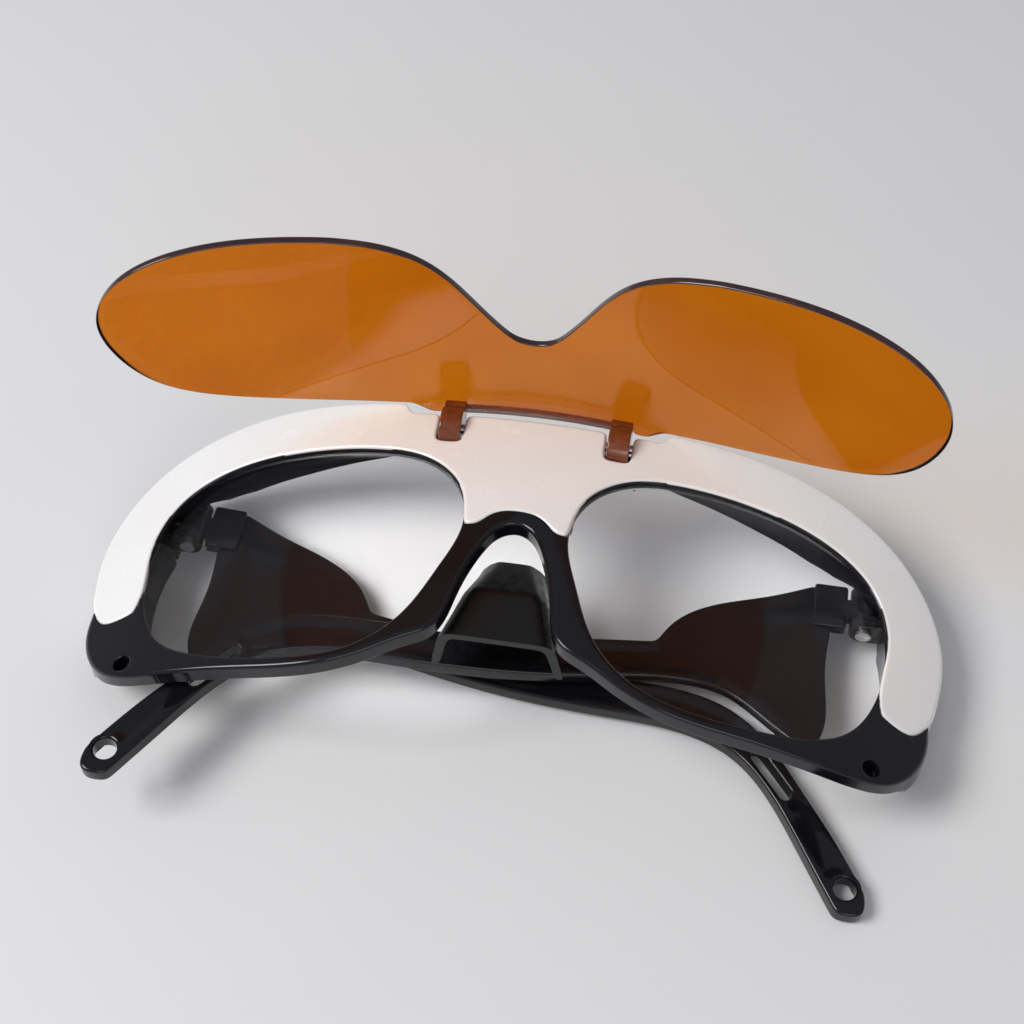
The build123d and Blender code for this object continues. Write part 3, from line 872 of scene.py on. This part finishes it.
flip_half = chained([
    straight([(0, FLIP_BAR[0]), FLIP_EDGE_STEP[0]], 0.8), straight(FLIP_EDGE_STEP, 0.5),
    spline(FLIP_EDGE_TOP, 0.8), spline(FLIP_EDGE_LOW, 0.8),
])
flip_loop = relaxed(even(whole(flip_half), 0.45), 5)
piece = plate(
    "tinted_lens", on_flip, [flip_loop], flip_front, flip_back, [AMBER, AMBER_EDGE_PAINTED_SHADE],
    edge=0.22, cell=1.8, rows=3,
)
# Only the edge faces that look away from the hinge keep the dark edge material, whose near-black colour
# is painted shade.
for face in piece.data.polygons:
    if face.normal.dot(Vector(FLIP_UP)) > -0.2:
        face.material_index = 0
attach(piece, "flip_up_lens")
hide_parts("flip_lens")

bar_end = HOOK_X + HOOK_W / 2
bar_corners = [
    (-bar_end, FLIP_BAR[0]), (bar_end, FLIP_BAR[0]), (bar_end, FLIP_BAR[1]),
    (-bar_end, FLIP_BAR[1]), (-bar_end, FLIP_BAR[0]),
]
bar_loop = relaxed(even(straight(bar_corners, 0.3)[:-1], 0.3), 3)
piece = plate(
    "lens_bar", on_flip, [bar_loop], lambda p: flip_front(p) + 0.2, lambda p: flip_back(p) - 0.2, [HOOK],
    edge=0.35, cell=0.8, rows=4,
)
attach(piece, "flip_up_lens")
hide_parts("flip_bar")


# ---- hooks ----
def arc(radius, start, end, step=6.0):
    """Points along a circle about the pin, between two angles in degrees."""
    a = np.radians(np.linspace(start, end, max(2, int(abs(end - start) / step)) + 1))
    return np.column_stack([radius * np.cos(a), radius * np.sin(a)])


top_z = float(flip_front(np.array([[HOOK_X, 0.0]]))[0])
hook_loop = np.vstack([
    arc(HOOK_OUT, 7.6, 65.0), [(FLIP_BAR[1], top_z - 0.1), (-1.4, top_z - 0.1)],
    arc(HOOK_OUT, 111.0, 284.9),
    arc(HOOK_IN, 284.9, 7.6, 20.0),
])
hook_loop = relaxed(even(hook_loop, 0.3), 2)
for side in (1, -1):
    piece = plate(
        f"lens_hook_{SIDE_NAME[side]}", on_flip_end, [hook_loop],
        lambda p: np.full(len(p), side * HOOK_X + HOOK_W / 2),
        lambda p: np.full(len(p), side * HOOK_X - HOOK_W / 2), [HOOK], edge=0.35, cell=0.7, rows=4,
    )
    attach(piece, "flip_up_lens")
    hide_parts(f"flip_hook_{SIDE_NAME[side]}")

# ---- arms ----
outer_bow = spline([(x, b + t / 2) for x, b, t in BOW], 0.5)
inner_bow = spline([(x, b - t / 2) for x, b, t in BOW], 0.5)
arm_loop = relaxed(even(chained([
    straight([ARM_START, SHIELD[0]], 0.6), spline(SHIELD, 0.6), spline(ARM_TOP, 0.6),
    spline(TIP_END, 0.6), spline(ARM_LOW, 0.6), spline(SHIELD_FRONT, 0.6),
    straight([SHIELD_FRONT[-1], ARM_START], 0.6)[:-1],
]), 0.6), 3)
turn = math.radians(SLOT_TURN)
half_run = (SLOT_LENGTH - SLOT_W) / 2
# Each slot end is half of a circle of 24 points.
slot_flat = np.vstack([
    np.roll(disc((half_run, 0), SLOT_W / 2, 24), 6, 0)[:13],
    disc((-half_run, 0), SLOT_W / 2, 24)[6:19],
])
turning = np.array([[math.cos(turn), math.sin(turn)], [-math.sin(turn), math.cos(turn)]])
slot_loop = even(slot_flat, 0.4) @ turning + SLOT_AT
tip_loop = disc(TIP_HOLE, TIP_HOLE_R, 36)


def arm_outer(p):
    """The side away from the face."""
    return np.interp(p[:, 0], outer_bow[:, 0], outer_bow[:, 1])


def arm_inner(p):
    """The side towards the face: a shallow panel inside a rim that follows the edge."""
    z = np.interp(p[:, 0], inner_bow[:, 0], inner_bow[:, 1])
    gap = distance(arm_loop, p)
    for loop in (slot_loop, tip_loop):
        gap = np.minimum(gap, distance(loop, p) + 0.3)
    return z + PANEL_DEPTH * ramp(gap, 1.3, 2.0) * ramp(p[:, 0], 8, 14)


for side in (1, -1):
    piece = plate(
        f"arm_{SIDE_NAME[side]}", on_arm(side), [arm_loop, slot_loop, tip_loop],
        arm_outer, arm_inner, [ARM_BLACK], edge=0.55, cell=0.9, rows=4,
    )
    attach(piece, f"{SIDE_NAME[side]}_arm")
    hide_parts(f"temple_{SIDE_NAME[side]}")

# ---- the arms' hinge leaves ----
leaf_loop = relaxed(even(straight(LEAF, 0.3)[:-1], 0.3), 4)
knuckle_loop = np.vstack([disc((0, 0), KNUCKLE_R, 48)[4:45], [(4.2, -1.2), (4.2, 1.2)]])
knuckle_loop = turned(relaxed(even(knuckle_loop, 0.25), 2))
for side in (1, -1):
    leaf = plate(
        f"arm_hinge_leaf_{SIDE_NAME[side]}", on_arm(side), [leaf_loop],
        lambda p: np.full(len(p), LEAF_T / 2), lambda p: np.full(len(p), -LEAF_T / 2),
        [ARM_BLACK], edge=0.4, cell=0.7, rows=4,
    )
    rings = []
    for height, inset in KNUCKLE_RINGS:
        ring = knuckle_loop + normals(knuckle_loop) * inset
        level = np.full(len(ring), KNUCKLE_LOW + height)
        rings.append(on_arm(side)(np.column_stack([ring[:, 0], level, ring[:, 1]])))
    knuckle = loft(f"arm_hinge_knuckle_{SIDE_NAME[side]}", rings, [ARM_BLACK])
    for piece in (leaf, knuckle):
        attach(piece, f"{SIDE_NAME[side]}_arm")
        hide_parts(f"arm_hinge_{SIDE_NAME[side]}")

# ---- CAD pieces that stay ----
for name, material in (
    ("flip_pin", STEEL), ("hinge_screws", STEEL), ("frame_hinge_left", HINGE_BLACK),
    ("frame_hinge_right", HINGE_BLACK),
):
    piece = frame["nodes"][name]
    piece.data.materials.clear()
    piece.data.materials.append(material)
    bevel = piece.modifiers.new("soft_edges", "BEVEL")
    bevel.width = 0.35 * MM if material is HINGE_BLACK else 0.12 * MM
    bevel.segments = 3
    bevel.limit_method = "ANGLE"
    bevel.angle_limit = math.radians(40)

# ---- floor ----
floor_nodes = Nodes("floor_pale")
floor_nodes.set(
    Base_Color=floor_nodes.mix(floor_nodes.noise(6, 4), (0.71, 0.71, 0.72, 1), (0.745, 0.745, 0.75, 1)),
    Roughness=floor_nodes.range(floor_nodes.noise(40, 3), 0.3, 0.7, 0.42, 0.52),
    IOR=1.4,
)
bpy.ops.mesh.primitive_plane_add(size=6.0, location=(0, 0, 0))
floor = bpy.context.object
floor.name = "floor"
floor.data.materials.append(floor_nodes.mat)


# ---- lights ----
LIGHT_TARGET = (0, 0, 0.02)


def softbox(name, place, size, power):
    """A rectangular lamp that points at the glasses; metres and watts."""
    lamp = bpy.data.lights.new(name, "AREA")
    lamp.shape = "RECTANGLE"
    lamp.size, lamp.size_y = size
    lamp.energy = power
    obj = bpy.data.objects.new(name, lamp)
    bpy.context.scene.collection.objects.link(obj)
    obj.location = place
    obj.rotation_euler = (Vector(LIGHT_TARGET) - Vector(place)).to_track_quat("-Z", "Y").to_euler()


softbox("key", (-0.62, -0.25, 0.80), (0.45, 0.45), 8.0)
softbox("fill", (0.25, -0.85, 0.55), (0.6, 0.4), 1.8)
world = bpy.data.worlds.new("studio")
world.use_nodes = True
background = world.node_tree.nodes["Background"]
background.inputs["Color"].default_value = (0.78, 0.79, 0.83, 1)
background.inputs["Strength"].default_value = 0.40
bpy.context.scene.world = world

# ---- camera: the photograph's viewpoint ----
LENS_MM = 63.13
SENSOR_MM = 36.0
CAMERA_AT = (0.0330, -0.1693, 0.2835)
view = Vector((-0.1084, 0.5828, -0.8054)).normalized()
up = Vector((-0.1260, 0.7955, 0.5926))
right = view.cross(up).normalized()
up = right.cross(view)
camera_data = bpy.data.cameras.new("camera")
camera_data.sensor_width = SENSOR_MM
camera_data.lens = LENS_MM
camera_data.clip_start = 0.01
camera = bpy.data.objects.new("camera", camera_data)
bpy.context.scene.collection.objects.link(camera)
turned_to = Matrix((right, up, -view)).transposed()
camera.matrix_world = Matrix.Translation(CAMERA_AT) @ turned_to.to_4x4()
bpy.context.scene.camera = camera
bpy.context.scene.view_settings.view_transform = "Standard"
